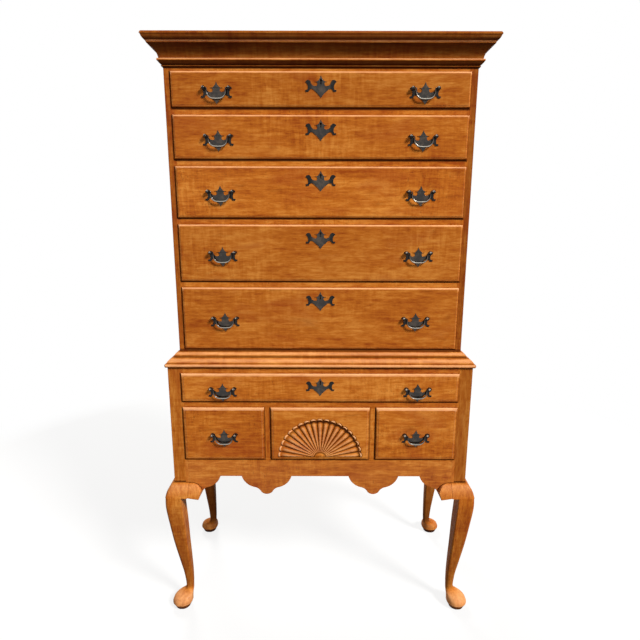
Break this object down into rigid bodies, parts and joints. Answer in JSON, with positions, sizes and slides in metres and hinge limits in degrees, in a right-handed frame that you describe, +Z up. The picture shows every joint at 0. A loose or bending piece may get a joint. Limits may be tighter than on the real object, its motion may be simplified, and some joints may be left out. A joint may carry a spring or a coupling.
{
  "type": "highboy",
  "caption": "Tall chest of drawers on a lower case with a scalloped apron, a fan-carved drawer, cabriole legs and batwing pulls.",
  "frame": {"origin": "on the floor, under the middle of the lower case", "axes": "+X to the right as one faces the drawers, +Y from the front to the back, +Z up"},
  "size_m": [1.045, 0.498, 1.862],
  "materials": {
    "maple": "figured maple under an amber varnish",
    "pine": "unfinished aged pine",
    "dark_brass": "brass with a dark old patina",
    "lock_iron": "filed dark iron"
  },
  "bodies": {
    "case": {"leg_front_left": "maple", "leg_front_right": "maple", "leg_rear_right": "maple", "leg_rear_left": "maple", "knee_blocks": "maple", "apron": "maple", "lower_case_sides": "maple", "lower_case_back": "pine", "lower_case_rails": "maple", "drawer_runners": "pine", "upper_case_boards": "maple", "upper_case_back": "pine", "drawer_blades": "maple", "cornice": "maple", "waist_moulding": "maple"},
    "upper_drawer_1": {"upper_drawer_1_front": "maple", "upper_drawer_1_box": "pine", "upper_drawer_1_hardware": "dark_brass"},
    "upper_drawer_1_left_bail": {"upper_drawer_1_left_bail": "dark_brass"},
    "upper_drawer_1_right_bail": {"upper_drawer_1_right_bail": "dark_brass"},
    "upper_drawer_1_bolt": {"upper_drawer_1_bolt": "lock_iron"},
    "upper_drawer_2": {"upper_drawer_2_front": "maple", "upper_drawer_2_box": "pine", "upper_drawer_2_hardware": "dark_brass"},
    "upper_drawer_2_left_bail": {"upper_drawer_2_left_bail": "dark_brass"},
    "upper_drawer_2_right_bail": {"upper_drawer_2_right_bail": "dark_brass"},
    "upper_drawer_2_bolt": {"upper_drawer_2_bolt": "lock_iron"},
    "upper_drawer_3": {"upper_drawer_3_front": "maple", "upper_drawer_3_box": "pine", "upper_drawer_3_hardware": "dark_brass"},
    "upper_drawer_3_left_bail": {"upper_drawer_3_left_bail": "dark_brass"},
    "upper_drawer_3_right_bail": {"upper_drawer_3_right_bail": "dark_brass"},
    "upper_drawer_3_bolt": {"upper_drawer_3_bolt": "lock_iron"},
    "upper_drawer_4": {"upper_drawer_4_front": "maple", "upper_drawer_4_box": "pine", "upper_drawer_4_hardware": "dark_brass"},
    "upper_drawer_4_left_bail": {"upper_drawer_4_left_bail": "dark_brass"},
    "upper_drawer_4_right_bail": {"upper_drawer_4_right_bail": "dark_brass"},
    "upper_drawer_4_bolt": {"upper_drawer_4_bolt": "lock_iron"},
    "upper_drawer_5": {"upper_drawer_5_front": "maple", "upper_drawer_5_box": "pine", "upper_drawer_5_hardware": "dark_brass"},
    "upper_drawer_5_left_bail": {"upper_drawer_5_left_bail": "dark_brass"},
    "upper_drawer_5_right_bail": {"upper_drawer_5_right_bail": "dark_brass"},
    "upper_drawer_5_bolt": {"upper_drawer_5_bolt": "lock_iron"},
    "long_drawer": {"long_drawer_front": "maple", "long_drawer_box": "pine", "long_drawer_hardware": "dark_brass"},
    "long_drawer_left_bail": {"long_drawer_left_bail": "dark_brass"},
    "long_drawer_right_bail": {"long_drawer_right_bail": "dark_brass"},
    "left_drawer": {"left_drawer_front": "maple", "left_drawer_box": "pine", "left_drawer_hardware": "dark_brass"},
    "left_drawer_bail": {"left_drawer_bail": "dark_brass"},
    "fan_drawer": {"fan_drawer_front": "maple", "fan_drawer_box": "pine"},
    "right_drawer": {"right_drawer_front": "maple", "right_drawer_box": "pine", "right_drawer_hardware": "dark_brass"},
    "right_drawer_bail": {"right_drawer_bail": "dark_brass"}
  },
  "joints": [
    {"name": "upper_drawer_1_slide", "type": "slide", "parent": "case", "child": "upper_drawer_1", "axis": [0, -1, 0], "range_m": [0, 0.3]},
    {"name": "upper_drawer_1_left_bail_swing", "type": "hinge", "parent": "upper_drawer_1", "child": "upper_drawer_1_left_bail", "pos_m": [-0.304, -0.1996, 1.7226], "axis": [-1, 0, 0], "range_deg": [0, 100]},
    {"name": "upper_drawer_1_right_bail_swing", "type": "hinge", "parent": "upper_drawer_1", "child": "upper_drawer_1_right_bail", "pos_m": [0.304, -0.1996, 1.7226], "axis": [-1, 0, 0], "range_deg": [0, 100]},
    {"name": "upper_drawer_1_bolt_throw", "type": "slide", "parent": "upper_drawer_1", "child": "upper_drawer_1_bolt", "axis": [0, 0, 1], "range_m": [0, 0.008]},
    {"name": "upper_drawer_2_slide", "type": "slide", "parent": "case", "child": "upper_drawer_2", "axis": [0, -1, 0], "range_m": [0, 0.3]},
    {"name": "upper_drawer_2_left_bail_swing", "type": "hinge", "parent": "upper_drawer_2", "child": "upper_drawer_2_left_bail", "pos_m": [-0.304, -0.1996, 1.59055], "axis": [-1, 0, 0], "range_deg": [0, 100]},
    {"name": "upper_drawer_2_right_bail_swing", "type": "hinge", "parent": "upper_drawer_2", "child": "upper_drawer_2_right_bail", "pos_m": [0.304, -0.1996, 1.59055], "axis": [-1, 0, 0], "range_deg": [0, 100]},
    {"name": "upper_drawer_2_bolt_throw", "type": "slide", "parent": "upper_drawer_2", "child": "upper_drawer_2_bolt", "axis": [0, 0, 1], "range_m": [0, 0.008]},
    {"name": "upper_drawer_3_slide", "type": "slide", "parent": "case", "child": "upper_drawer_3", "axis": [0, -1, 0], "range_m": [0, 0.3]},
    {"name": "upper_drawer_3_left_bail_swing", "type": "hinge", "parent": "upper_drawer_3", "child": "upper_drawer_3_left_bail", "pos_m": [-0.304, -0.1996, 1.432], "axis": [-1, 0, 0], "range_deg": [0, 100]},
    {"name": "upper_drawer_3_right_bail_swing", "type": "hinge", "parent": "upper_drawer_3", "child": "upper_drawer_3_right_bail", "pos_m": [0.304, -0.1996, 1.432], "axis": [-1, 0, 0], "range_deg": [0, 100]},
    {"name": "upper_drawer_3_bolt_throw", "type": "slide", "parent": "upper_drawer_3", "child": "upper_drawer_3_bolt", "axis": [0, 0, 1], "range_m": [0, 0.008]},
    {"name": "upper_drawer_4_slide", "type": "slide", "parent": "case", "child": "upper_drawer_4", "axis": [0, -1, 0], "range_m": [0, 0.3]},
    {"name": "upper_drawer_4_left_bail_swing", "type": "hinge", "parent": "upper_drawer_4", "child": "upper_drawer_4_left_bail", "pos_m": [-0.304, -0.1996, 1.24845], "axis": [-1, 0, 0], "range_deg": [0, 100]},
    {"name": "upper_drawer_4_right_bail_swing", "type": "hinge", "parent": "upper_drawer_4", "child": "upper_drawer_4_right_bail", "pos_m": [0.304, -0.1996, 1.24845], "axis": [-1, 0, 0], "range_deg": [0, 100]},
    {"name": "upper_drawer_4_bolt_throw", "type": "slide", "parent": "upper_drawer_4", "child": "upper_drawer_4_bolt", "axis": [0, 0, 1], "range_m": [0, 0.008]},
    {"name": "upper_drawer_5_slide", "type": "slide", "parent": "case", "child": "upper_drawer_5", "axis": [0, -1, 0], "range_m": [0, 0.3]},
    {"name": "upper_drawer_5_left_bail_swing", "type": "hinge", "parent": "upper_drawer_5", "child": "upper_drawer_5_left_bail", "pos_m": [-0.304, -0.1996, 1.0409], "axis": [-1, 0, 0], "range_deg": [0, 100]},
    {"name": "upper_drawer_5_right_bail_swing", "type": "hinge", "parent": "upper_drawer_5", "child": "upper_drawer_5_right_bail", "pos_m": [0.304, -0.1996, 1.0409], "axis": [-1, 0, 0], "range_deg": [0, 100]},
    {"name": "upper_drawer_5_bolt_throw", "type": "slide", "parent": "upper_drawer_5", "child": "upper_drawer_5_bolt", "axis": [0, 0, 1], "range_m": [0, 0.008]},
    {"name": "long_drawer_slide", "type": "slide", "parent": "case", "child": "long_drawer", "axis": [0, -1, 0], "range_m": [0, 0.3]},
    {"name": "long_drawer_left_bail_swing", "type": "hinge", "parent": "long_drawer", "child": "long_drawer_left_bail", "pos_m": [-0.3145, -0.2326, 0.8154], "axis": [-1, 0, 0], "range_deg": [0, 100]},
    {"name": "long_drawer_right_bail_swing", "type": "hinge", "parent": "long_drawer", "child": "long_drawer_right_bail", "pos_m": [0.3145, -0.2326, 0.8154], "axis": [-1, 0, 0], "range_deg": [0, 100]},
    {"name": "left_drawer_slide", "type": "slide", "parent": "case", "child": "left_drawer", "axis": [0, -1, 0], "range_m": [0, 0.3]},
    {"name": "left_drawer_bail_swing", "type": "hinge", "parent": "left_drawer", "child": "left_drawer_bail", "pos_m": [-0.3155, -0.2326, 0.6561], "axis": [-1, 0, 0], "range_deg": [0, 100]},
    {"name": "fan_drawer_slide", "type": "slide", "parent": "case", "child": "fan_drawer", "axis": [0, -1, 0], "range_m": [0, 0.3]},
    {"name": "right_drawer_slide", "type": "slide", "parent": "case", "child": "right_drawer", "axis": [0, -1, 0], "range_m": [0, 0.3]},
    {"name": "right_drawer_bail_swing", "type": "hinge", "parent": "right_drawer", "child": "right_drawer_bail", "pos_m": [0.3155, -0.2326, 0.6561], "axis": [-1, 0, 0], "range_deg": [0, 100]}
  ]
}
